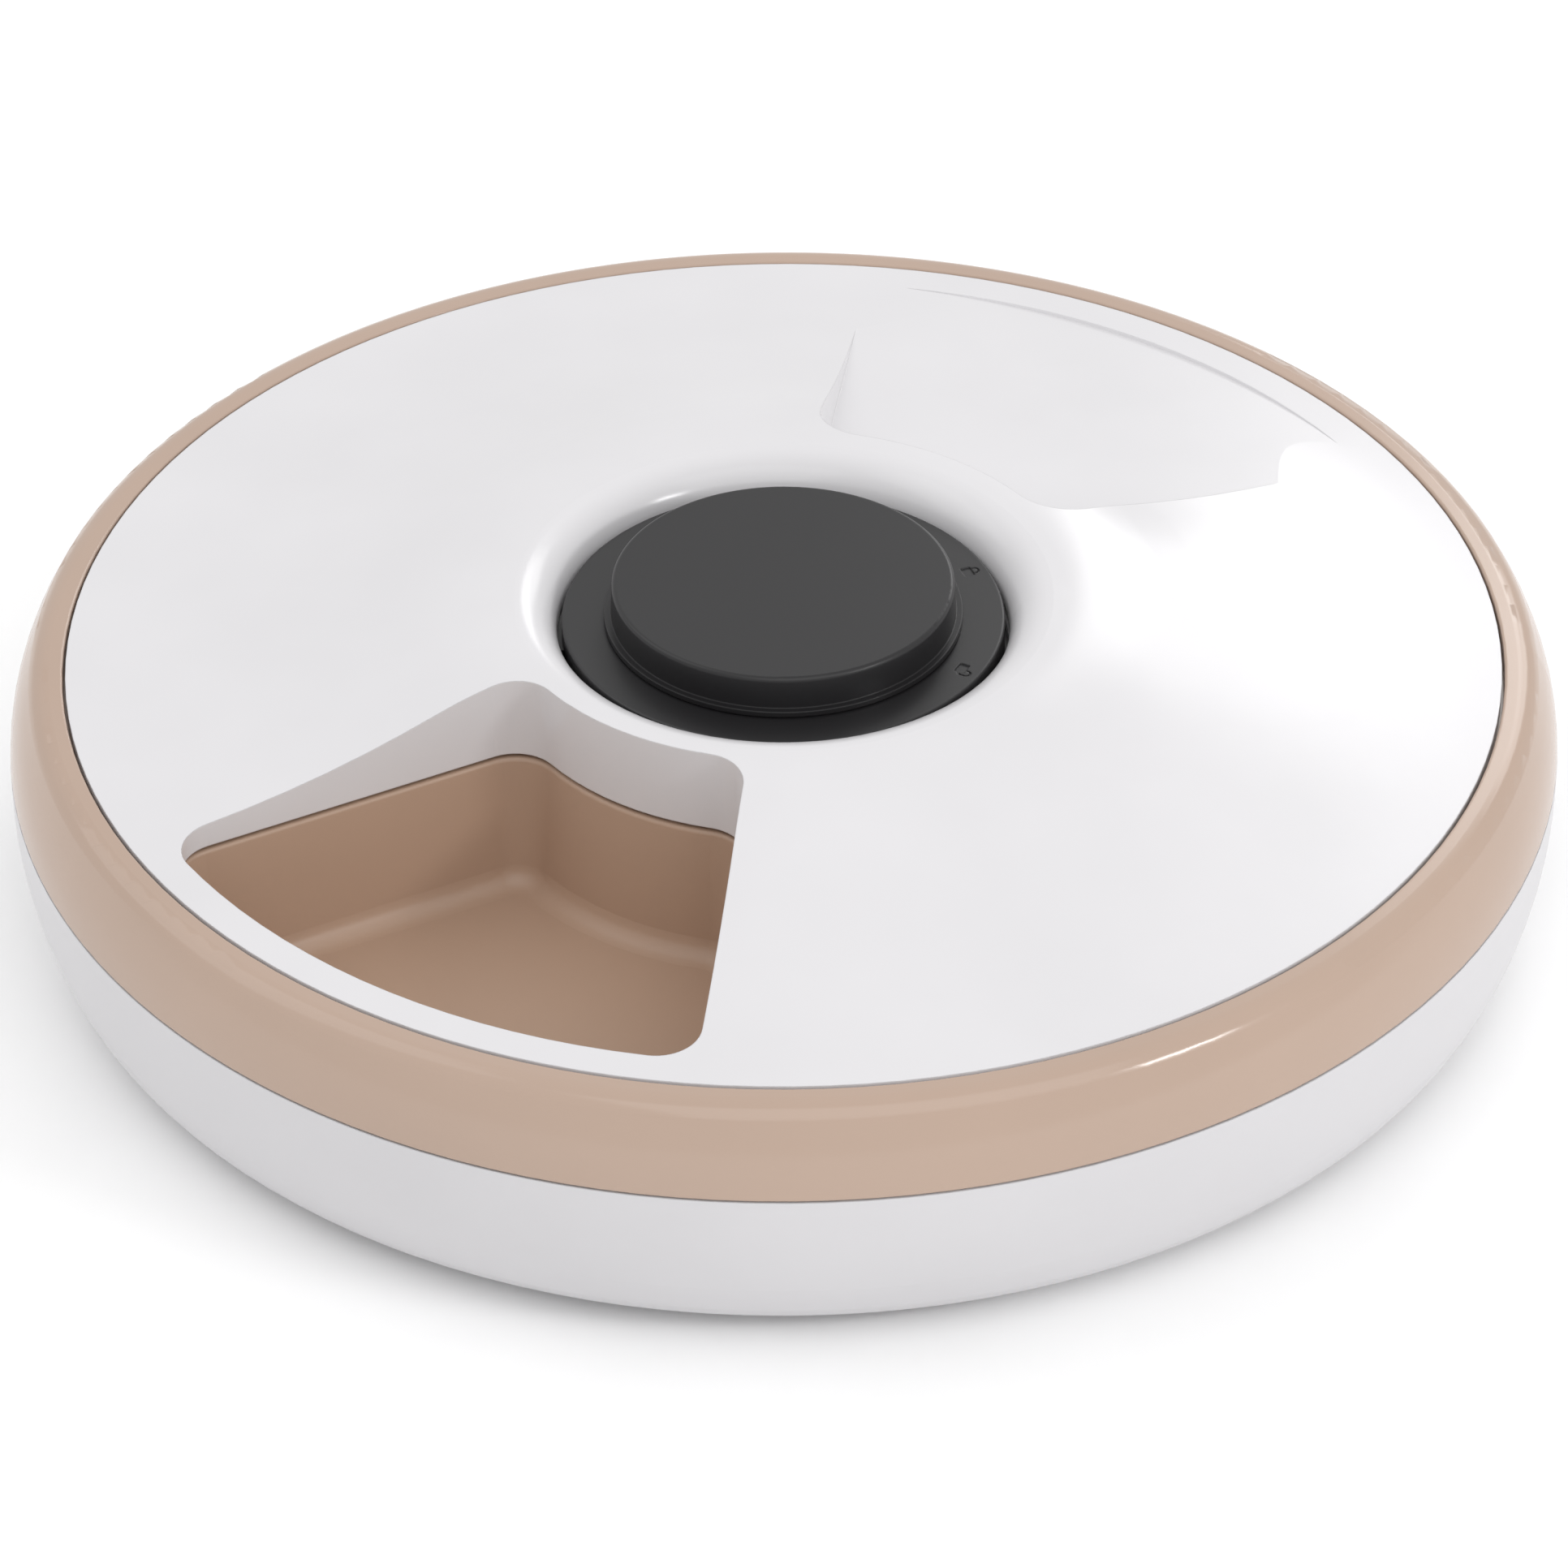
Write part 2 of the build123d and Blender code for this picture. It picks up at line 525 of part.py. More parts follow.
with BuildPart() as food_tray:
    tube(TRAY_R, TRAY_BORE_R, TRAY_TOP - WALL, TRAY_TOP)
    tube(TRAY_R, TRAY_R - WALL, TRAY_TOP - RIM_H, TRAY_TOP)
    tube(WINDOW_INNER_R + 0.8, TRAY_BORE_R, TRAY_FLOOR - WALL, TRAY_TOP)
    for azimuth in meal_azimuths:
        cup(azimuth, WALL, Mode.ADD)
    tube(TRACK_R + TRACK_WIDTH / 2, TRACK_R - TRACK_WIDTH / 2, TRAY_FLOOR - WALL, TRAY_FLOOR)
    for azimuth in meal_azimuths:
        cup(azimuth, 0, Mode.SUBTRACT)
    floors = food_tray.faces().filter_by(Plane.XY).filter_by(
        lambda face: abs(face.center().Z - TRAY_FLOOR) < 0.01 and face.area > 4000)
    fillet(floors.edges(), FLOOR_FILLET)
    mouths = food_tray.faces().filter_by(Plane.XY).sort_by(Axis.Z)[-1].inner_wires()
    mouth_edges = ShapeList(edge for wire in mouths for edge in wire.edges())
    fillet(mouth_edges.filter_by(lambda edge: edge.center().length > TRAY_BORE_R - 10), LIP_FILLET)
    # internal gear
    with BuildSketch(Plane.XY.offset(GEAR_BOTTOM)):
        Circle(TRAY_BORE_R + 1)
        Polygon(*gear_points(RING_TEETH, ring_pitch_r + DEDENDUM, ring_pitch_r - ADDENDUM, BACKLASH / 2),
                align=None, mode=Mode.SUBTRACT)
    extrude(amount=GEAR_TOP - GEAR_BOTTOM)
save(food_tray, "food_tray")

# small magnets in the bore, one for each meal, that the sensor on the column counts
MAGNET_R = 2.0
MAGNET_THICK = 0.9
SENSOR_AZIMUTH = -90.0
with BuildPart() as index_magnets:
    for index in range(MEALS):
        angle = SENSOR_AZIMUTH + 360 / MEALS * index
        seat = Plane(origin=(*polar(TRAY_BORE_R - 1.0, angle), MAGNET_Z), z_dir=(*polar(1, angle), 0))
        with BuildSketch(seat):
            Circle(MAGNET_R)
        extrude(amount=MAGNET_THICK)
save(index_magnets, "index_magnets")

# small board with the sensor's chip on its inner face
SENSOR_BOARD = (12.0, 1.6, 12.0)
SENSOR_CHIP = (4.0, 1.2, 3.0)
sensor_y = -COLUMN_IN_R + 3.5
with BuildPart() as index_sensor:
    with Locations((0, sensor_y, MAGNET_Z)):
        Box(*SENSOR_BOARD)
    with Locations((0, sensor_y + (SENSOR_BOARD[1] + SENSOR_CHIP[1]) / 2, MAGNET_Z)):
        Box(*SENSOR_CHIP)
save(index_sensor, "index_sensor")

# ---- tray drive: geared motor, shaft and pinion ----
SHAFT_BOTTOM = DECK_BOTTOM - 0.6
GEARBOX = (12.0, 10.0, 9.0)
GEARBOX_BOTTOM = GEAR_TOP + 1.2
MOTOR_LEN = 14.0
MOTOR_BOSS_R = 2.4
MOTOR_BOSS_H = 0.8
PINION_NECK_R = 3.6
SHAFT_PLAY = 0.05
pinion_pitch_r = GEAR_MODULE * PINION_TEETH / 2
with BuildPart() as drive_pinion:
    with BuildSketch(Plane.XY.offset(GEAR_BOTTOM + 0.4)):
        Polygon(*gear_points(PINION_TEETH, pinion_pitch_r + ADDENDUM, pinion_pitch_r - DEDENDUM,
                             -BACKLASH / 2), align=None)
        Circle(SHAFT_R, mode=Mode.SUBTRACT)
    extrude(amount=GEAR_TOP - GEAR_BOTTOM - 0.8)
    with BuildSketch(Plane.XY.offset(DECK_TOP + 0.8)):
        Circle(PINION_NECK_R)
        Circle(SHAFT_R, mode=Mode.SUBTRACT)
    extrude(amount=GEAR_TOP - DECK_TOP - 0.4)
    drive_pinion.part = drive_pinion.part.moved(Location((0, PINION_Y, 0)))
save(drive_pinion, "drive_pinion")

with BuildPart() as drive_shaft:
    with BuildSketch(Plane.XY.offset(SHAFT_BOTTOM)):
        with Locations((0, PINION_Y)):
            Circle(SHAFT_R)
    extrude(amount=GEARBOX_BOTTOM - SHAFT_BOTTOM)
    chamfer(drive_shaft.edges().group_by(Axis.Z)[0], 0.3)
save(drive_shaft, "drive_shaft")

with BuildPart() as shaft_bush:
    with BuildSketch(Plane.XY.offset(DECK_BOTTOM)):
        with Locations((0, PINION_Y)):
            Circle(BUSH_R)
            Circle(SHAFT_R + SHAFT_PLAY, mode=Mode.SUBTRACT)
    extrude(amount=DECK_THICK)
    with BuildSketch(Plane.XY.offset(DECK_TOP)):
        with Locations((0, PINION_Y)):
            Circle(SHAFT_R + 2)
            Circle(SHAFT_R + SHAFT_PLAY, mode=Mode.SUBTRACT)
    extrude(amount=0.5)
save(shaft_bush, "shaft_bush")

with BuildPart() as gearbox:
    with BuildSketch(Plane.XY.offset(GEARBOX_BOTTOM)):
        with Locations((0, PINION_Y)):
            RectangleRounded(GEARBOX[0], GEARBOX[1], 0.6)
    extrude(amount=GEARBOX[2])
    with BuildSketch(Plane.XY.offset(GEARBOX_BOTTOM)):
        with Locations((0, PINION_Y)):
            Circle(SHAFT_R + 0.5)
    extrude(amount=0.3, mode=Mode.SUBTRACT)
save(gearbox, "gearbox")

with BuildPart() as motor:
    with BuildSketch(Plane.XY.offset(GEARBOX_BOTTOM + GEARBOX[2])):
        with Locations((0, PINION_Y)):
            Circle(GEARBOX[0] / 2)
            Rectangle(GEARBOX[0], GEARBOX[1], mode=Mode.INTERSECT)
    extrude(amount=MOTOR_LEN - MOTOR_BOSS_H)
    with BuildSketch(Plane.XY.offset(GEARBOX_BOTTOM + GEARBOX[2] + MOTOR_LEN - MOTOR_BOSS_H)):
        with Locations((0, PINION_Y)):
            Circle(MOTOR_BOSS_R)
    extrude(amount=0.6)
save(motor, "motor")

BRACKET_THICK = 1.8
BRACKET_FRONT = MOTOR_PAD_Y - 0.1
EAR_END = MOTOR_PAD_X + MOTOR_PAD_WIDTH / 2
ARM_IN_X = GEARBOX[0] / 2 + 0.1
arm_out_x = ARM_IN_X + BRACKET_THICK
ear_back = BRACKET_FRONT - BRACKET_THICK
bracket_back = PINION_Y - GEARBOX[1] / 2 - BRACKET_THICK
arm_front = bracket_back + BRACKET_THICK - 0.1
with BuildPart() as motor_bracket:
    with BuildSketch(Plane.XY.offset(MOTOR_PAD_Z - MOTOR_PAD_H / 2)):
        with BuildLine():
            Polyline((-EAR_END, BRACKET_FRONT), (-EAR_END, ear_back), (-arm_out_x, ear_back),
                     (-arm_out_x, bracket_back), (arm_out_x, bracket_back), (arm_out_x, ear_back),
                     (EAR_END, ear_back), (EAR_END, BRACKET_FRONT), (ARM_IN_X, BRACKET_FRONT),
                     (ARM_IN_X, arm_front), (-ARM_IN_X, arm_front), (-ARM_IN_X, BRACKET_FRONT),
                     (-EAR_END, BRACKET_FRONT))
        make_face()
    extrude(amount=MOTOR_PAD_H)
    with BuildSketch(Plane.XZ.offset(-BRACKET_FRONT)):
        with Locations((-MOTOR_PAD_X, MOTOR_PAD_Z), (MOTOR_PAD_X, MOTOR_PAD_Z)):
            Circle(BOARD_SCREW_R + 0.05)
    extrude(amount=BRACKET_THICK, mode=Mode.SUBTRACT)
save(motor_bracket, "motor_bracket")

SMALL_SCREW_R = 0.95
SMALL_HEAD_R = 1.9
SMALL_HEAD_H = 1.2
with BuildPart() as bracket_screws:
    with BuildSketch(Plane.XZ.offset(-ear_back)):
        with Locations((-MOTOR_PAD_X, MOTOR_PAD_Z), (MOTOR_PAD_X, MOTOR_PAD_Z)):
            Circle(SMALL_HEAD_R)
    extrude(amount=SMALL_HEAD_H)
    with BuildSketch(Plane.XZ.offset(-ear_back)):
        with Locations((-MOTOR_PAD_X, MOTOR_PAD_Z), (MOTOR_PAD_X, MOTOR_PAD_Z)):
            Circle(SMALL_SCREW_R)
    extrude(amount=-5)
save(bracket_screws, "bracket_screws")

# ---- lid ----
dome_end_r = LID_R - LID_DOME_R * math.sin(math.radians(LID_DOME_TURN))
dome_end_z = LID_PLANE + LID_DOME_R * (1 - math.cos(math.radians(LID_DOME_TURN)))
crest_radius = (dome_end_r - LID_CREST_R) / math.sin(math.radians(LID_DOME_TURN))
CREST_Z = dome_end_z + crest_radius * (1 - math.cos(math.radians(LID_DOME_TURN)))
HUB_WALL_R = HUB_OPENING_R + 4.6
LUG_GROOVE_R = 49.0
SKIRT_DEPTH = 3.0
lug_azimuths = [60 + 360 / LUGS * index for index in range(LUGS)]


def dome_profile(inset, bottom_z):
    """Add the lid's half section under its top surface moved down by inset, to the open sketch."""
    hollow_r, crest_r, lip_r = LID_DOME_R + inset, crest_radius - inset, LID_LIP_R - inset

    def on_hollow(turn):
        return (LID_R - hollow_r * math.sin(turn), LID_PLANE + LID_DOME_R - hollow_r * math.cos(turn))

    def on_crest(turn):
        return (LID_CREST_R + crest_r * math.sin(turn), CREST_Z - crest_radius + crest_r * math.cos(turn))

    def on_lip(turn):
        return (LID_CREST_R - lip_r * math.sin(turn), CREST_Z - LID_LIP_R + lip_r * math.cos(turn))

    turn = math.radians(LID_DOME_TURN)
    with BuildLine() as outline:
        ThreePointArc(on_hollow(0), on_hollow(turn / 2), on_hollow(turn))
        ThreePointArc(on_hollow(turn), on_crest(turn / 2), on_crest(0))
        ThreePointArc(on_crest(0), on_lip(math.pi / 4), on_lip(math.pi / 2))
        lip_foot = on_lip(math.pi / 2)
        Polyline(lip_foot, (lip_foot[0], bottom_z), (LID_R, bottom_z), on_hollow(0))
    make_face(outline.edges())


slope = math.radians(RECESS_SLOPE)
recess_dir = polar(1, RECESS_AZIMUTH)
recess_floor = Plane(
    origin=(0, 0, LID_PLANE - RECESS_DEPTH + WINDOW_OUTER_R * math.tan(slope)),
    x_dir=(recess_dir[0] * math.cos(slope), recess_dir[1] * math.cos(slope), -math.sin(slope)),
    z_dir=(recess_dir[0] * math.sin(slope), recess_dir[1] * math.sin(slope), math.cos(slope)))
RECESS_INNER_R = 63.0
RECESS_TOOL_H = 12.0


def recess_pan(grow):
    """Cut the recess with its sloping floor, grown by grow on every side, from the open part."""
    sections = []
    flare = (RECESS_TOOL_H + grow) * math.tan(math.radians(RECESS_DRAFT))
    for rise, inset in ((-grow, 0), (RECESS_TOOL_H, -flare)):
        with BuildSketch(recess_floor.offset(rise)) as section:
            sector_outline(RECESS_INNER_R, WINDOW_OUTER_R, WINDOW_ANGLE - 1.5, 0, WINDOW_CORNER_R,
                           inset - grow)
        sections.append(section.sketch)
    loft(sections, ruled=True, mode=Mode.SUBTRACT)


with BuildPart() as lid_hollow:
    with BuildSketch(Plane.XZ):
        dome_profile(WALL, SKIRT_BOTTOM - 2)
    revolve(axis=Axis.Z)
    tube(LID_R + 1, LID_R - WALL, SKIRT_BOTTOM - 2, CREST_Z, Mode.SUBTRACT)
    tube(HUB_WALL_R, 0, SKIRT_BOTTOM - 2, CREST_Z, Mode.SUBTRACT)
    with BuildSketch(Plane.XY.offset(SKIRT_BOTTOM - 2)):
        sector_outline(WINDOW_INNER_R, WINDOW_OUTER_R, WINDOW_ANGLE, WINDOW_AZIMUTH, WINDOW_CORNER_R, -WALL)
    extrude(amount=CREST_Z - SKIRT_BOTTOM, mode=Mode.SUBTRACT)
    recess_pan(WALL)

with BuildPart() as lid:
    with BuildSketch(Plane.XZ):
        dome_profile(0, SKIRT_BOTTOM)
    revolve(axis=Axis.Z)
    tube(LID_R + 1, LID_R - WALL, SKIRT_BOTTOM - 1, LID_PLANE - SKIRT_DEPTH, Mode.SUBTRACT)
    tube(HUB_WALL_R, 0, SKIRT_BOTTOM - 1, LID_PLANE, Mode.SUBTRACT)
    add(lid_hollow.part, mode=Mode.SUBTRACT)
    with BuildSketch(Plane.XY.offset(SKIRT_BOTTOM - 1)):
        sector_outline(WINDOW_INNER_R, WINDOW_OUTER_R, WINDOW_ANGLE, WINDOW_AZIMUTH, WINDOW_CORNER_R)
    extrude(amount=CREST_Z - SKIRT_BOTTOM + 2, mode=Mode.SUBTRACT)
    recess_pan(0)
    # groove where the locking lugs turn, and the notches that they enter by
    tube(LUG_GROOVE_R, 0, LOCK_Z - GAP, LOCK_Z + LOCK_THICK + GAP, Mode.SUBTRACT)
    for azimuth in lug_azimuths:
        with BuildSketch(Plane.XY.offset(LID_PLANE - 1)):
            sector_outline(HUB_OPENING_R - 1, LUG_TIP_R + 0.4, LUG_ANGLE + 4, azimuth)
        extrude(amount=LOCK_Z - LID_PLANE + 2, mode=Mode.SUBTRACT)
save(lid, "lid")

# ---- control panel: black disc with a skirt, over the circuit board ----
DISC_UNDER = DISC_TOP - DISC_THICK
SKIRT_IN_R = DISC_R - WALL
MARK_AZIMUTHS = [-28, 22]       # unlocked, locked
MARK_CIRCLE_R = 41.2
MARK_DEPTH = 0.3
SLOT_IN_R = POST_IN_R - GAP
SLOT_OUT_R = POST_OUT_R + GAP
LENS = (30.0, 14.0)
LENS_REBATE = 1.2
PANEL_POST_R = 3.0
PADLOCK = (3.2, 2.2)
SHACKLE = (3.0, 2.2)
SHACKLE_HOLE = (2.2, 1.3)


def sector_between(inner_r, outer_r, low, high):
    """Add a ring sector between two angles to the open sketch."""
    sector_outline(inner_r, outer_r, high - low, (low + high) / 2)


with BuildPart() as control_panel:
    tube(DISC_R, 0, DISC_UNDER, DISC_TOP)
    tube(DISC_R, SKIRT_IN_R, COLUMN_TOP, DISC_UNDER)
    posts(PANEL_POST_R, PANEL_BOSS_R, 3, COLUMN_TOP, DISC_UNDER, 30)
    posts(SCREW_R, PANEL_BOSS_R, 3, COLUMN_TOP, COLUMN_TOP + 7, 30, Mode.SUBTRACT)
    fillet(control_panel.edges().group_by(Axis.Z)[-1], RIM_FILLET)
    # the lugs turn through these notches, and the posts through the slots
    for azimuth in lug_azimuths:
        with BuildSketch(Plane.XY.offset(COLUMN_TOP)):
            sector_between(SKIRT_IN_R - 1, DISC_R + 1, azimuth - TWIST - LUG_ANGLE / 2 - 2,
                                azimuth + LUG_ANGLE / 2 + 2)
        extrude(amount=LOCK_Z + LOCK_THICK + GAP - COLUMN_TOP, mode=Mode.SUBTRACT)
        with BuildSketch(Plane.XY.offset(DISC_UNDER)):
            sector_between(SLOT_IN_R, SLOT_OUT_R, azimuth - TWIST - POST_ANGLE / 2 - 1,
                                azimuth + POST_ANGLE / 2 + 1)
        extrude(amount=DISC_THICK, mode=Mode.SUBTRACT)
    with BuildSketch(Plane.XY.offset(DISC_UNDER)):
        with Locations((0, DISPLAY_Y)):
            RectangleRounded(LENS[0] - 2, LENS[1] - 2, 1)
        with Locations(*[(x, BUTTON_Y) for x in BUTTON_X]):
            Circle(BUTTON_R + 0.3)
    extrude(amount=DISC_THICK, mode=Mode.SUBTRACT)
    with BuildSketch(Plane.XY.offset(DISC_TOP - LENS_REBATE)):
        with Locations((0, DISPLAY_Y)):
            RectangleRounded(LENS[0] + 0.2, LENS[1] + 0.2, 1.1)
    extrude(amount=LENS_REBATE, mode=Mode.SUBTRACT)
    # engraved padlocks: the first has its shackle swung out
    for azimuth, shackle_x in zip(MARK_AZIMUTHS, (1.3, 0)):
        mark = Plane(origin=(*polar(MARK_CIRCLE_R, azimuth), DISC_TOP), x_dir=(*polar(1, azimuth - 90), 0),
                     z_dir=(0, 0, 1))
        with BuildSketch(mark):
            with Locations((shackle_x, PADLOCK[1] / 2)):
                SlotOverall(*SHACKLE, rotation=90)
                SlotOverall(*SHACKLE_HOLE, rotation=90, mode=Mode.SUBTRACT)
            RectangleRounded(*PADLOCK, 0.3)
        extrude(amount=-MARK_DEPTH, mode=Mode.SUBTRACT)
save(control_panel, "control_panel")

with BuildPart() as display_lens:
    with BuildSketch(Plane.XY.offset(DISC_TOP - LENS_REBATE)):
        with Locations((0, DISPLAY_Y)):
            RectangleRounded(LENS[0], LENS[1], 1)
    extrude(amount=LENS_REBATE - 0.1)
save(display_lens, "display_lens")

POST_TOP = CAP_TOP - 5.0
with BuildPart() as locking_ring:
    with BuildSketch(Plane.XY.offset(LOCK_Z)):
        Circle(SKIRT_IN_R - GAP)
        for azimuth in lug_azimuths:
            sector_outline(SKIRT_IN_R - 2, LUG_TIP_R, LUG_ANGLE, azimuth)
        Circle(POST_IN_R - 0.4, mode=Mode.SUBTRACT)
    extrude(amount=LOCK_THICK)
    with BuildSketch(Plane.XY.offset(LOCK_Z + LOCK_THICK)):
        for azimuth in lug_azimuths:
            sector_outline(POST_IN_R, POST_OUT_R, POST_ANGLE, azimuth)
    extrude(amount=POST_TOP - LOCK_Z - LOCK_THICK)
save(locking_ring, "locking_ring")

# ---- cap ----
CAP_BOTTOM = DISC_TOP + GAP
CAP_FLANGE_H = 1.2
CAP_CAVITY_R = 33.0
CAP_FILLET = 0.9
RIB_ANGLE = 3.6
RIB_BOTTOM = CAP_BOTTOM + 0.4
CAP_CEILING = CAP_TOP - WALL
cap_foot_r = CAP_R + (CAP_TOP - CAP_BOTTOM - CAP_FLANGE_H) * math.tan(math.radians(CAP_DRAFT))
with BuildPart() as cap:
    with BuildSketch(Plane.XZ):
        with BuildLine():
            Polyline((0, CAP_TOP), (CAP_R, CAP_TOP), (cap_foot_r, CAP_BOTTOM + CAP_FLANGE_H),
                     (CAP_FLANGE_R, CAP_BOTTOM + CAP_FLANGE_H), (CAP_FLANGE_R, CAP_BOTTOM),
                     (CAP_CAVITY_R, CAP_BOTTOM), (CAP_CAVITY_R, CAP_CEILING), (0, CAP_CEILING), (0, CAP_TOP))
        make_face()
    revolve(axis=Axis.Z)
    fillet(cap.edges().group_by(Axis.Z)[-1], CAP_FILLET)
    # ribs on both sides of each post of the locking ring
    with BuildSketch(Plane.XY.offset(RIB_BOTTOM)):
        for azimuth in lug_azimuths:
            for side in (-1, 1):
                rib_azimuth = azimuth + side * (POST_ANGLE / 2 + 2.5)
                sector_outline(POST_IN_R, CAP_CAVITY_R + 0.5, RIB_ANGLE, rib_azimuth)
    extrude(amount=CAP_CEILING - RIB_BOTTOM)
save(cap, "cap")

# ---- circuit board and what it carries ----
BOARD_TOP = BOARD_Z + BOARD_THICK
with BuildPart() as circuit_board:
    tube(BOARD_R, 0, BOARD_Z, BOARD_TOP)
    posts(PANEL_POST_R + 0.4, PANEL_BOSS_R, 3, BOARD_Z, BOARD_TOP, 30, Mode.SUBTRACT)
    posts(BOARD_SCREW_R + SCREW_PLAY, PANEL_BOSS_R, 3, BOARD_Z, BOARD_TOP, 90, Mode.SUBTRACT)
save(circuit_board, "circuit_board")

# chips and a capacitor beside the display
CHIP_H = 1.5
with BuildPart() as board_parts:
    with BuildSketch(Plane.XY.offset(BOARD_TOP)):
        with Locations((-18, -5.8)):
            Rectangle(5, 3.6)
        with Locations((18, -5.8)):
            Circle(1.8)
        with Locations((-9, -4.6), (9, -4.6)):
            Rectangle(3.2, 1.6)
        with Locations((0, -5)):
            Rectangle(9, 3.6)
    extrude(amount=CHIP_H)
save(board_parts, "board_parts")

DISPLAY_H = 4.6
with BuildPart() as display_module:
    with BuildSketch(Plane.XY.offset(BOARD_TOP)):
        with Locations((0, DISPLAY_Y)):
            Rectangle(*DISPLAY)
    extrude(amount=DISPLAY_H)
    chamfer(display_module.edges().group_by(Axis.Z)[-1], 0.3)
save(display_module, "display_module")

SWITCH_SIDE = 6.0
SWITCH_BODY_H = 2.6
STEM_R = 1.6
STEM_H = 0.9
SWITCH_TOP = BOARD_TOP + SWITCH_BODY_H + STEM_H
with BuildPart() as key_switches:
    with BuildSketch(Plane.XY.offset(BOARD_TOP)):
        with Locations(*[(x, BUTTON_Y) for x in BUTTON_X]):
            RectangleRounded(SWITCH_SIDE, SWITCH_SIDE, 0.4)
    extrude(amount=SWITCH_BODY_H)
    with BuildSketch(Plane.XY.offset(BOARD_TOP + SWITCH_BODY_H)):
        with Locations(*[(x, BUTTON_Y) for x in BUTTON_X]):
            Circle(STEM_R)
    extrude(amount=STEM_H)
save(key_switches, "key_switches")

BUTTON_BOTTOM = SWITCH_TOP + BUTTON_TRAVEL + 0.1
BUTTON_TOP = DISC_TOP + 1.3
BUTTON_FLANGE = 1.1
flange_top = DISC_UNDER - 0.1
for name, x in zip(BUTTON_NAMES, BUTTON_X):
    with BuildPart() as button:
        with BuildSketch(Plane.XY.offset(BUTTON_BOTTOM)):
            with Locations((x, BUTTON_Y)):
                Circle(BUTTON_R + BUTTON_FLANGE)
        extrude(amount=flange_top - BUTTON_BOTTOM)
        with BuildSketch(Plane.XY.offset(flange_top)):
            with Locations((x, BUTTON_Y)):
                Circle(BUTTON_R)
        extrude(amount=BUTTON_TOP - flange_top)
        fillet(button.edges().group_by(Axis.Z)[-1], RIM_FILLET)
    save(button, name)

with BuildPart() as panel_screws:
    screws(PANEL_BOSS_R, 3, 2.6, PLATE_BOTTOM - 1.6, 1.6, COLUMN_TOP + 6, 30)
save(panel_screws, "panel_screws")

with BuildPart() as board_screws:
    posts(SMALL_HEAD_R, PANEL_BOSS_R, 3, BOARD_TOP, BOARD_TOP + SMALL_HEAD_H, 90)
    posts(SMALL_SCREW_R, PANEL_BOSS_R, 3, COLUMN_TOP + 0.2, BOARD_TOP, 90)
save(board_screws, "board_screws")

print(len(finished), "pieces written to parts")
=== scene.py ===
import json
import math

import bmesh
import bpy
from mathutils import Matrix, Vector


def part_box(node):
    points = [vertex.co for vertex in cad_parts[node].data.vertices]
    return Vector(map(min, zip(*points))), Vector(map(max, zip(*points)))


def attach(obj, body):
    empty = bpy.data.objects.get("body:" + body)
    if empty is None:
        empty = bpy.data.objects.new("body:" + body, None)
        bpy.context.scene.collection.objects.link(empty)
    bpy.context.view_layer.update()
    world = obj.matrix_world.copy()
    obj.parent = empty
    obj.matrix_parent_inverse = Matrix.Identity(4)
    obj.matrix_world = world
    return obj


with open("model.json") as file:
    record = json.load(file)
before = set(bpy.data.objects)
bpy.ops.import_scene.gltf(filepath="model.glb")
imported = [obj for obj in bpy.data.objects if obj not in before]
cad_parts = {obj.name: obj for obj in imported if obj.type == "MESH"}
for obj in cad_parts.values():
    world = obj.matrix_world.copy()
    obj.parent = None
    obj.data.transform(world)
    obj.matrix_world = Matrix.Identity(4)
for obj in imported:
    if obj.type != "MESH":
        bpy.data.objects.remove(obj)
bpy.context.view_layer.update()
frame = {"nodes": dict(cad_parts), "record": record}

# Round six-meal pet feeder: camera, light, floor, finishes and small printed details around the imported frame.
# Metres throughout.

nodes = frame["nodes"]
LID_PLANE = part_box("upper_ring")[1][2]          # height of the lid's flat outer edge
LID_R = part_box("lid")[1][0]                     # radius of the lid's edge

# ---- camera: distance in lid radii, angles in degrees ----
CAMERA_DISTANCE = 12.0
CAMERA_ELEVATION = 34.83
CAMERA_PITCH = 35.74
CAMERA_ROLL = -0.22
CAMERA_LENS = 197.48                            # mm
SENSOR_WIDTH = 36                               # mm
CLIP_END = 20


def add_camera():
    elevation, pitch, roll = (math.radians(angle) for angle in (CAMERA_ELEVATION, CAMERA_PITCH, CAMERA_ROLL))
    reach = CAMERA_DISTANCE * LID_R
    place = Vector((0, -reach * math.cos(elevation), LID_PLANE + reach * math.sin(elevation)))
    forward = Vector((0, math.cos(pitch), -math.sin(pitch)))
    level = Vector((1, 0, 0))
    upright = level.cross(forward)
    right = level * math.cos(roll) + upright * math.sin(roll)
    up = upright * math.cos(roll) - level * math.sin(roll)
    camera = bpy.data.objects.new("camera", bpy.data.cameras.new("camera"))
    camera.data.lens = CAMERA_LENS
    camera.data.sensor_width = SENSOR_WIDTH
    camera.data.clip_end = CLIP_END
    camera.matrix_world = Matrix.Translation(place) @ Matrix((right, up, -forward)).transposed().to_4x4()
    bpy.context.scene.collection.objects.link(camera)
    bpy.context.scene.camera = camera


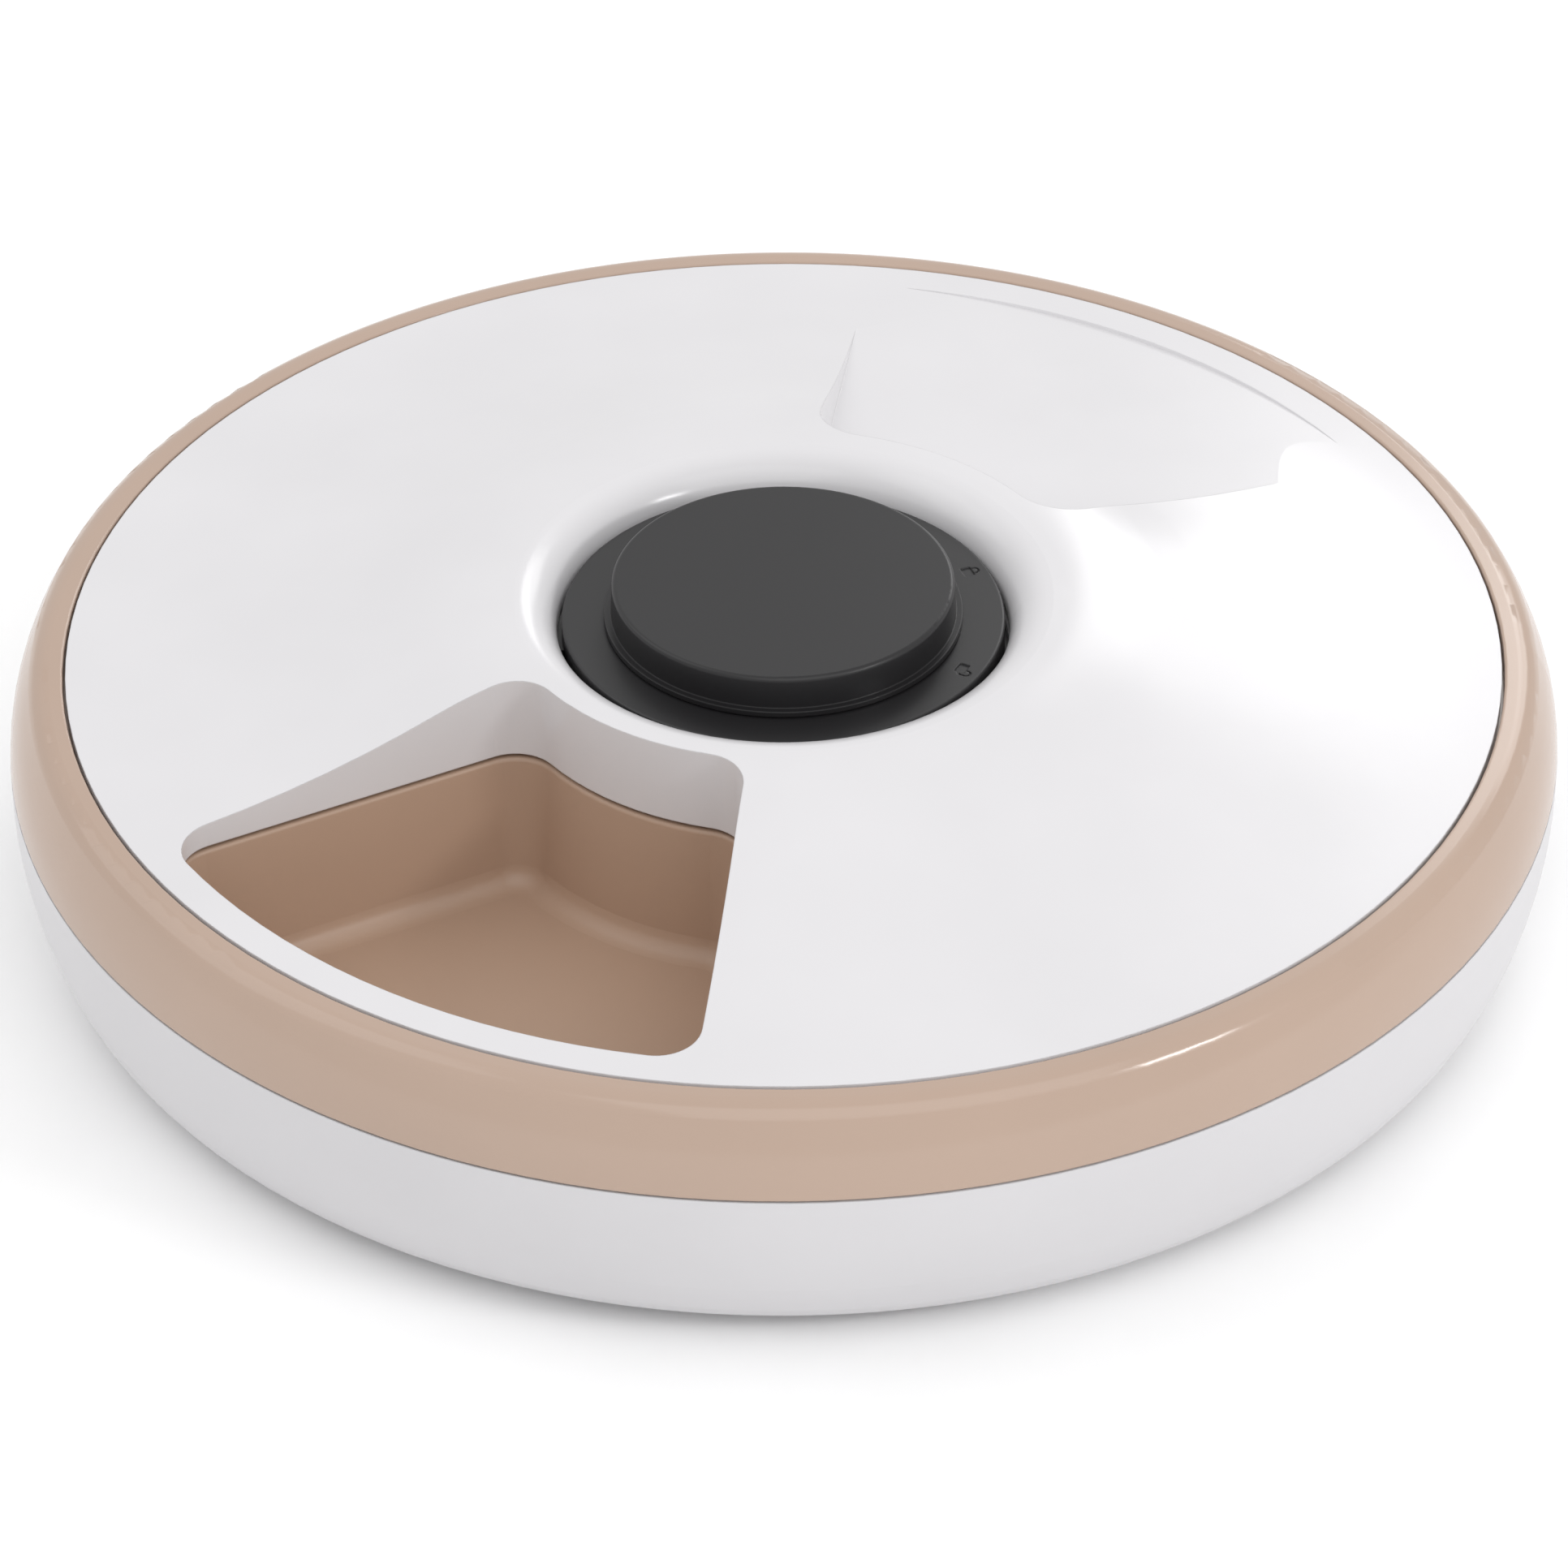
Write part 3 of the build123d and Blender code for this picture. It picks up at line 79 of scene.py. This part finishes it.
# ---- lights ----
def add_softbox(name, azimuth, elevation, distance, width, height, power):
    """Area light that faces the lid from a direction given in degrees: azimuth from +X, and elevation."""
    light = bpy.data.lights.new(name, "AREA")
    light.shape = "RECTANGLE"
    light.size = width
    light.size_y = height
    light.energy = power
    softbox = bpy.data.objects.new(name, light)
    azimuth, elevation = math.radians(azimuth), math.radians(elevation)
    direction = Vector((math.cos(azimuth) * math.cos(elevation), math.sin(azimuth) * math.cos(elevation),
                        math.sin(elevation)))
    softbox.location = Vector((0, 0, LID_PLANE)) + direction * distance
    softbox.rotation_euler = direction.to_track_quat("Z", "Y").to_euler()
    bpy.context.scene.collection.objects.link(softbox)


def add_world(strength):
    world = bpy.data.worlds.new("studio")
    world.use_nodes = True
    background = world.node_tree.nodes["Background"]
    background.inputs["Color"].default_value = (1, 1, 1, 1)
    background.inputs["Strength"].default_value = strength
    bpy.context.scene.world = world


# ---- materials ----
SLOW_SIZE = 0.05                # spread of the slow change of colour and roughness
GLOSS_RANGE = 0.04              # roughness changes by this much either way
LEAST_ROUGHNESS = 0.02
GRAIN_DEPTH = 0.0001
EDGE_TURN = 0.8                 # cosine of the turn at which an edge gets the full painted highlight
# sockets of the colour Mix node, which share their names with its other kinds
MIX_FACTOR, MIX_A, MIX_B, MIX_RESULT = 0, 6, 7, 2


def finish_material(name, colour, roughness=0.4, grain=0.0006, bump=0.05, mottle=0.02, edge=0.0004, wear=0.06,
                    streak=None, **sockets):
    """Surface with fine grain, slow change of colour and roughness, and edges rounded and painted lighter as a
    highlight.
    """
    material = bpy.data.materials.new(name)
    material.use_nodes = True
    tree = material.node_tree
    shader = tree.nodes["Principled BSDF"]
    for socket, value in sockets.items():
        shader.inputs[socket.replace("_", " ").title().replace("Ior", "IOR")].default_value = value
    place = tree.nodes.new("ShaderNodeTexCoord")

    def node(kind, **values):
        made = tree.nodes.new("ShaderNode" + kind)
        for key, value in values.items():
            setattr(made, key, value)
        return made

    def noise(size, detail, stretch=(1, 1, 1)):
        spread = node("Mapping")
        spread.inputs["Scale"].default_value = stretch
        tree.links.new(place.outputs["Object"], spread.inputs["Vector"])
        pattern = node("TexNoise")
        pattern.inputs["Scale"].default_value = 1 / size
        pattern.inputs["Detail"].default_value = detail
        tree.links.new(spread.outputs["Vector"], pattern.inputs["Vector"])
        return pattern.outputs["Fac"]

    slow = noise(SLOW_SIZE, 3)
    fine = noise(grain, 4, streak or (1, 1, 1))
    tint = node("ValToRGB")
    tint.color_ramp.elements[0].position = 0.3
    tint.color_ramp.elements[1].position = 0.7
    tint.color_ramp.elements[0].color = (*[channel * (1 - mottle) for channel in colour], 1)
    tint.color_ramp.elements[1].color = (*[min(1, channel * (1 + mottle)) for channel in colour], 1)
    tree.links.new(slow, tint.inputs["Fac"])

    # how far the rounded edge turns away from the face tells where an edge is
    rounded = node("Bevel", samples=4)
    rounded.inputs["Radius"].default_value = edge
    face = node("NewGeometry")
    turn = node("VectorMath", operation="DOT_PRODUCT")
    tree.links.new(rounded.outputs["Normal"], turn.inputs[0])
    tree.links.new(face.outputs["Normal"], turn.inputs[1])
    # painted highlight: rounded edges are mixed towards white, more where the edge turns sharper
    painted_edge_highlight_mask = node("MapRange")
    painted_edge_highlight_mask.inputs["From Min"].default_value = 1.0
    painted_edge_highlight_mask.inputs["From Max"].default_value = EDGE_TURN
    painted_edge_highlight_mask.inputs["To Max"].default_value = wear
    tree.links.new(turn.outputs["Value"], painted_edge_highlight_mask.inputs["Value"])
    edge_highlight_colour = node("Mix", data_type="RGBA")
    edge_highlight_colour.inputs[MIX_B].default_value = (1, 1, 1, 1)
    tree.links.new(painted_edge_highlight_mask.outputs["Result"], edge_highlight_colour.inputs[MIX_FACTOR])
    tree.links.new(tint.outputs["Color"], edge_highlight_colour.inputs[MIX_A])
    tree.links.new(edge_highlight_colour.outputs[MIX_RESULT], shader.inputs["Base Color"])

    gloss = node("MapRange")
    gloss.inputs["To Min"].default_value = max(LEAST_ROUGHNESS, roughness - GLOSS_RANGE)
    gloss.inputs["To Max"].default_value = min(1.0, roughness + GLOSS_RANGE)
    tree.links.new(slow, gloss.inputs["Value"])
    tree.links.new(gloss.outputs["Result"], shader.inputs["Roughness"])
    dent = node("Bump")
    dent.inputs["Strength"].default_value = bump
    dent.inputs["Distance"].default_value = GRAIN_DEPTH
    tree.links.new(fine, dent.inputs["Height"])
    tree.links.new(rounded.outputs["Normal"], dent.inputs["Normal"])
    tree.links.new(dent.outputs["Normal"], shader.inputs["Normal"])
    return material


METAL = dict(metallic=1.0, wear=0.0, mottle=0.05)
FINISHES = {
    "white_lid": dict(colour=(0.69, 0.68, 0.695), roughness=0.2, bump=0.03),
    "white_shell": dict(colour=(0.615, 0.605, 0.62), roughness=0.32),
    "white_inner": dict(colour=(0.66, 0.66, 0.66), roughness=0.5, bump=0.1),
    "beige_gloss": dict(colour=(0.455, 0.335, 0.265), roughness=0.15, bump=0.03),
    "beige_tray": dict(colour=(0.45, 0.31, 0.225), roughness=0.42, bump=0.08),
    "foot_rubber": dict(colour=(0.04, 0.04, 0.04), roughness=0.8, bump=0.4, wear=0.02),
    "black_panel": dict(colour=(0.013, 0.0125, 0.0135), roughness=0.34, specular_ior_level=0.5, wear=0.01),
    "black_cap": dict(colour=(0.014, 0.0135, 0.0145), roughness=0.32, specular_ior_level=0.43, wear=0.01),
    "black_pom": dict(colour=(0.015, 0.015, 0.015), roughness=0.35, wear=0.02),
    "cell_wrap": dict(colour=(0.03, 0.035, 0.05), roughness=0.25, coat_weight=0.3),
    "contact_metal": dict(colour=(0.7, 0.7, 0.68), roughness=0.25, streak=(1, 20, 1), **METAL),
    "steel_pin": dict(colour=(0.55, 0.55, 0.56), roughness=0.3, streak=(1, 1, 20), **METAL),
    "screw_steel": dict(colour=(0.5, 0.5, 0.5), roughness=0.35, **METAL),
    "bush_brass": dict(colour=(0.7, 0.5, 0.2), roughness=0.3, **METAL),
    "gearbox_metal": dict(colour=(0.7, 0.53, 0.25), roughness=0.35, streak=(20, 1, 1), **METAL),
    "motor_can": dict(colour=(0.6, 0.6, 0.62), roughness=0.3, streak=(1, 1, 20), **METAL),
    "grey_bracket": dict(colour=(0.12, 0.12, 0.125), roughness=0.5, bump=0.1),
    "natural_pom": dict(colour=(0.72, 0.71, 0.64), roughness=0.35),
    "magnet": dict(colour=(0.5, 0.5, 0.52), roughness=0.2, **METAL),
    "board_green": dict(colour=(0.01, 0.09, 0.03), roughness=0.35, coat_weight=0.3),
    "chip_black": dict(colour=(0.02, 0.02, 0.02), roughness=0.5, bump=0.1),
    "display_grey": dict(colour=(0.23, 0.27, 0.2), roughness=0.25, coat_weight=0.5),
    "lens_clear": dict(colour=(0.9, 0.95, 0.93), roughness=0.06, transmission_weight=0.95, wear=0.0,
                       mottle=0.005),
    "button_grey": dict(colour=(0.3, 0.3, 0.3), roughness=0.55, bump=0.15),
    "print_white": dict(colour=(0.6, 0.6, 0.6), roughness=0.5, edge=0.00002),
    "segment_black": dict(colour=(0.012, 0.014, 0.012), roughness=0.4, edge=0.00002),
}
materials = {name: finish_material(name, **finish) for name, finish in FINISHES.items()}


def finish_cad_nodes():
    """Give every CAD node the procedural finish of its material slot."""
    for part in frame["record"]["subparts"]:
        piece = nodes[part["node"]]
        piece.data.materials.clear()
        piece.data.materials.append(materials[part["material_slot"]])


# ---- floor ----
def add_floor(half):
    """Plain square of paper around the middle, from -half to half each way."""
    mesh = bpy.data.meshes.new("floor")
    corners = [(-half, -half, 0), (half, -half, 0), (half, half, 0), (-half, half, 0)]
    mesh.from_pydata(corners, [], [(0, 1, 2, 3)])
    floor = bpy.data.objects.new("floor", mesh)
    bpy.context.scene.collection.objects.link(floor)
    paper = finish_material("floor_paper", (0.98, 0.98, 0.98), 0.9, grain=0.0008, bump=0.02, mottle=0.01)
    floor.data.materials.append(paper)


# ---- printed and raised details ----
def raised_piece(name, outlines, low, height, material, body):
    """One piece of flat plates, each raised by height from an outline of points, with bevelled top edges."""
    shape = bmesh.new()
    for outline in outlines:
        bottom = [shape.verts.new((x, y, low)) for x, y in outline]
        top = [shape.verts.new((x, y, low + height)) for x, y in outline]
        shape.faces.new(list(reversed(bottom)))
        face = shape.faces.new(top)
        for index in range(len(outline)):
            after = (index + 1) % len(outline)
            shape.faces.new((bottom[index], bottom[after], top[after], top[index]))
        bmesh.ops.bevel(shape, geom=list(face.edges), offset=height * 0.4, segments=2, affect="EDGES",
                        profile=0.5)
    bmesh.ops.recalc_face_normals(shape, faces=shape.faces)
    mesh = bpy.data.meshes.new(name)
    shape.to_mesh(mesh)
    shape.free()
    piece = bpy.data.objects.new(name, mesh)
    bpy.context.scene.collection.objects.link(piece)
    piece.data.materials.append(materials[material])
    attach(piece, body)


def bar(x, y, length, width, upright=False):
    """Six-cornered segment of a numeral, or a pointed bar."""
    half, side = length / 2, width / 2
    points = [(-half, 0), (-half + side, -side), (half - side, -side), (half, 0), (half - side, side),
              (-half + side, side)]
    return [(x - b, y + a) if upright else (x + a, y + b) for a, b in points]


CLOCK = "1200"
SEGMENTS = {"0": "abcdef", "1": "bc", "2": "abged"}     # segments lit in each numeral of the clock


def numeral(digit, x, y, size):
    """Outlines of a seven-segment numeral centred on a point."""
    long_bar, thick = size * 0.44, size * 0.12
    spots = {"a": (0, size / 2, False), "g": (0, 0, False), "d": (0, -size / 2, False),
             "f": (-size / 4, size / 4, True), "b": (size / 4, size / 4, True),
             "e": (-size / 4, -size / 4, True), "c": (size / 4, -size / 4, True)}
    lit = [spots[key] for key in SEGMENTS[digit]]
    return [bar(x + aside, y + rise, long_bar, thick, upright) for aside, rise, upright in lit]


MEALS = 6
INK_GAP = 0.00002                                       # segments stand this far above the display
INK_HEIGHT = 0.00005


def add_display():
    """Clock time, and one bar for each of the six meals, on the display under its window."""
    low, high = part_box("display_module")
    middle = (low + high) / 2
    size = (high[1] - low[1]) * 0.34                    # height of a numeral
    clock_y = middle[1] + size * 0.28
    meals_y = middle[1] - size * 0.62
    thick = size * 0.14
    outlines = []
    for digit, step in zip(CLOCK, (-1.35, -0.55, 0.55, 1.35)):
        outlines += numeral(digit, middle[0] + step * size * 0.8, clock_y, size)
    for rise in (-0.2, 0.2):
        outlines.append(bar(middle[0], clock_y + size * rise, size * 0.16, thick))
    for meal in range(MEALS):
        aside = (meal - (MEALS - 1) / 2) * size * 0.6
        outlines.append(bar(middle[0] + aside, meals_y, size * 0.46, thick))
    raised_piece("display_segments", outlines, high[2] + INK_GAP, INK_HEIGHT, "segment_black", "base")


def ring_outline(x, y, radius, width, start, end, steps=20):
    """Outline of a curved band between two angles in degrees."""
    turns = [math.radians(start + (end - start) * step / steps) for step in range(steps + 1)]
    outer = [(x + radius * math.cos(turn), y + radius * math.sin(turn)) for turn in turns]
    inner = [(x + (radius - width) * math.cos(turn), y + (radius - width) * math.sin(turn)) for turn in turns]
    return outer + inner[::-1]


MARK_SIZE = 0.0017                                      # half the width of a mark
MARK_LINE = 0.0004
MARK_SUNK = 0.00001                                     # a mark's foot lies this far inside its button
MARK_HEIGHT = 0.00004


def add_button_marks():
    """A clock, a bowl and two arrow heads, printed on the buttons."""
    size, line = MARK_SIZE, MARK_LINE
    for name in ("button_clock", "button_meal", "button_up", "button_down"):
        low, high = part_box(name)
        x, y = (low[0] + high[0]) / 2, (low[1] + high[1]) / 2
        if name == "button_clock":
            outlines = [ring_outline(x, y, size, line, 1, 179), ring_outline(x, y, size, line, 181, 359),
                        bar(x, y + size * 0.28, size * 0.8, line, True),
                        bar(x + size * 0.36, y - size * 0.14, size * 0.6, line)]
        elif name == "button_meal":
            outlines = [[(x - size, y), (x - size * 0.6, y - size * 0.7), (x + size * 0.6, y - size * 0.7),
                         (x + size, y)], ring_outline(x, y + size * 0.12, size * 0.62, size * 0.5, 10, 170)]
        else:
            way = 1 if name == "button_up" else -1
            corners = [(-1, -0.5), (1, -0.5), (0, 0.8)] if way == 1 else [(-1, 0.5), (0, -0.8), (1, 0.5)]
            outlines = [[(x + a * size, y + b * size) for a, b in corners]]
        raised_piece(name + "_mark", outlines, high[2] - MARK_SUNK, MARK_HEIGHT, "print_white", name)


FLOOR_HALF = 4.0
WORLD_STRENGTH = 0.82

add_camera()
add_world(WORLD_STRENGTH)
# name, azimuth, elevation, distance, width, height, power
add_softbox("key_behind", 73, 29, 1.8, 0.36, 0.57, 2.5)
add_softbox("key_right", 60, 29, 1.8, 0.32, 0.57, 1.6)
add_softbox("strip_right", -33, 28, 1.6, 0.34, 0.13, 4.0)
add_softbox("front_top", -75, 52, 2.2, 2.2, 1.8, 11)
add_softbox("left_back", 165, 50, 2.2, 1.6, 1.6, 6)
add_floor(FLOOR_HALF)
finish_cad_nodes()
add_display()
add_button_marks()
bpy.context.scene.view_settings.view_transform = "Standard"
